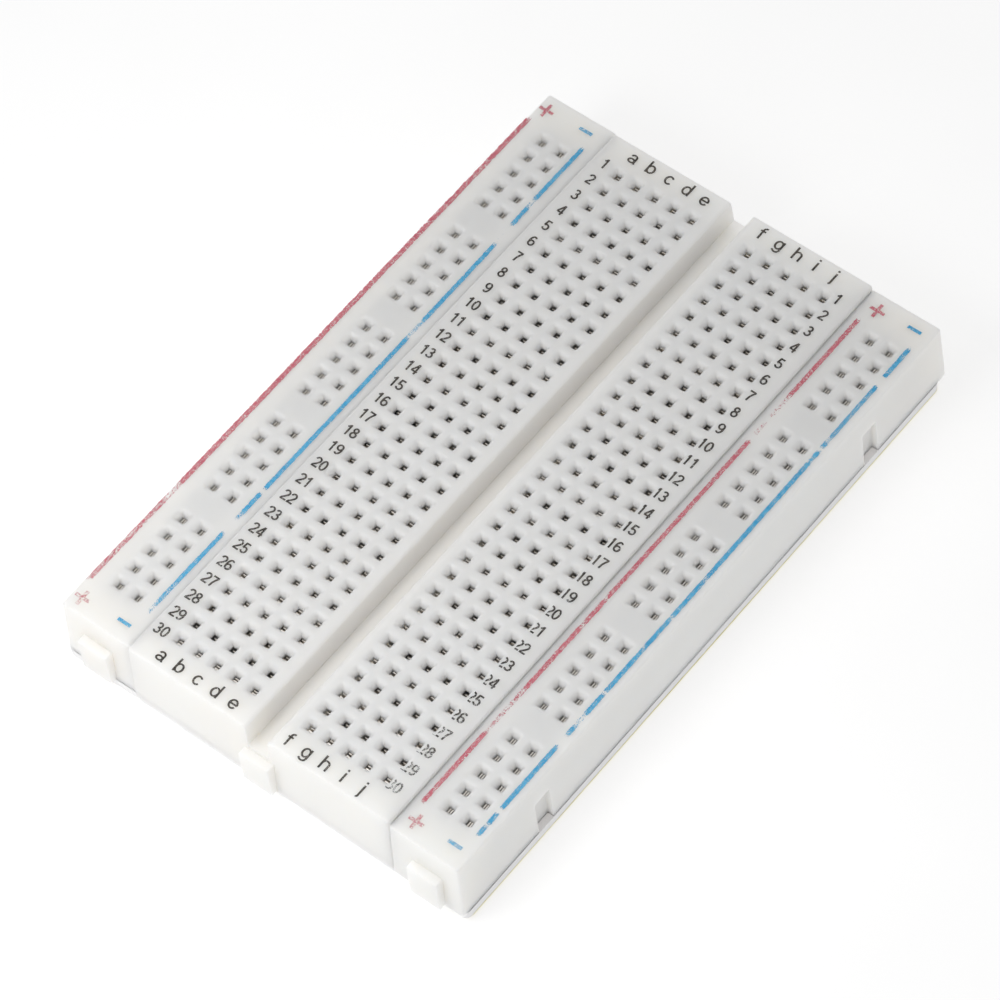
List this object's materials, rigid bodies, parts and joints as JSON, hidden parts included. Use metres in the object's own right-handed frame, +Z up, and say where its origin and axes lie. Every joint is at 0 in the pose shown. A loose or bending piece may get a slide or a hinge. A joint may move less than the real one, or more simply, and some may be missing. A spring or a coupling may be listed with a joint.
{
  "type": "solderless breadboard",
  "caption": "Flat white board of spring-contact holes: a terminal strip with a centre ravine between two clip-on power rails, on adhesive foam tape with a release liner.",
  "frame": {"origin": "centre of the bounding box's underside, on the release liner's lower face", "axes": "+Z up out of the tie-point face, +Y along the rows from row 30 to row 1, +X from column a to column j"},
  "size_m": [0.0552, 0.0842, 0.0101],
  "materials": {
    "white_plastic": "milky white moulded ABS, softly glossy, slightly translucent",
    "contact_metal": "nickel-plated phosphor bronze strip",
    "foam_tape": "white closed-cell foam, adhesive on both faces",
    "liner_paper": "waxed pale yellow release paper"
  },
  "bodies": {
    "right_rail": {"power_rail_right": "white_plastic", "bus_clip_right_minus": "contact_metal", "bus_clip_right_plus": "contact_metal", "foam_pad_right": "foam_tape"},
    "terminal_strip": {"terminal_housing": "white_plastic", "foam_pad_middle": "foam_tape", "clip_row_01": "contact_metal", "clip_row_02": "contact_metal", "clip_row_03": "contact_metal", "clip_row_04": "contact_metal", "clip_row_05": "contact_metal", "clip_row_06": "contact_metal", "clip_row_07": "contact_metal", "clip_row_08": "contact_metal", "clip_row_09": "contact_metal", "clip_row_10": "contact_metal", "clip_row_11": "contact_metal", "clip_row_12": "contact_metal", "clip_row_13": "contact_metal", "clip_row_14": "contact_metal", "clip_row_15": "contact_metal", "clip_row_16": "contact_metal", "clip_row_17": "contact_metal", "clip_row_18": "contact_metal", "clip_row_19": "contact_metal", "clip_row_20": "contact_metal", "clip_row_21": "contact_metal", "clip_row_22": "contact_metal", "clip_row_23": "contact_metal", "clip_row_24": "contact_metal", "clip_row_25": "contact_metal", "clip_row_26": "contact_metal", "clip_row_27": "contact_metal", "clip_row_28": "contact_metal", "clip_row_29": "contact_metal", "clip_row_30": "contact_metal"},
    "left_rail": {"power_rail_left": "white_plastic", "bus_clip_left_minus": "contact_metal", "bus_clip_left_plus": "contact_metal", "foam_pad_left": "foam_tape"},
    "liner_sheet": {"release_liner": "liner_paper"}
  },
  "joints": [
    {"name": "lift_terminal", "type": "slide", "parent": "right_rail", "child": "terminal_strip", "axis": [0, 0, 1], "range_m": [0, 0.012]},
    {"name": "lift_left_rail", "type": "slide", "parent": "terminal_strip", "child": "left_rail", "axis": [0, 0, 1], "range_m": [0, 0.012]},
    {"name": "liner_pull", "type": "slide", "parent": "right_rail", "child": "liner_sheet", "axis": [0, -1, 0], "range_m": [0, 0.06]}
  ]
}
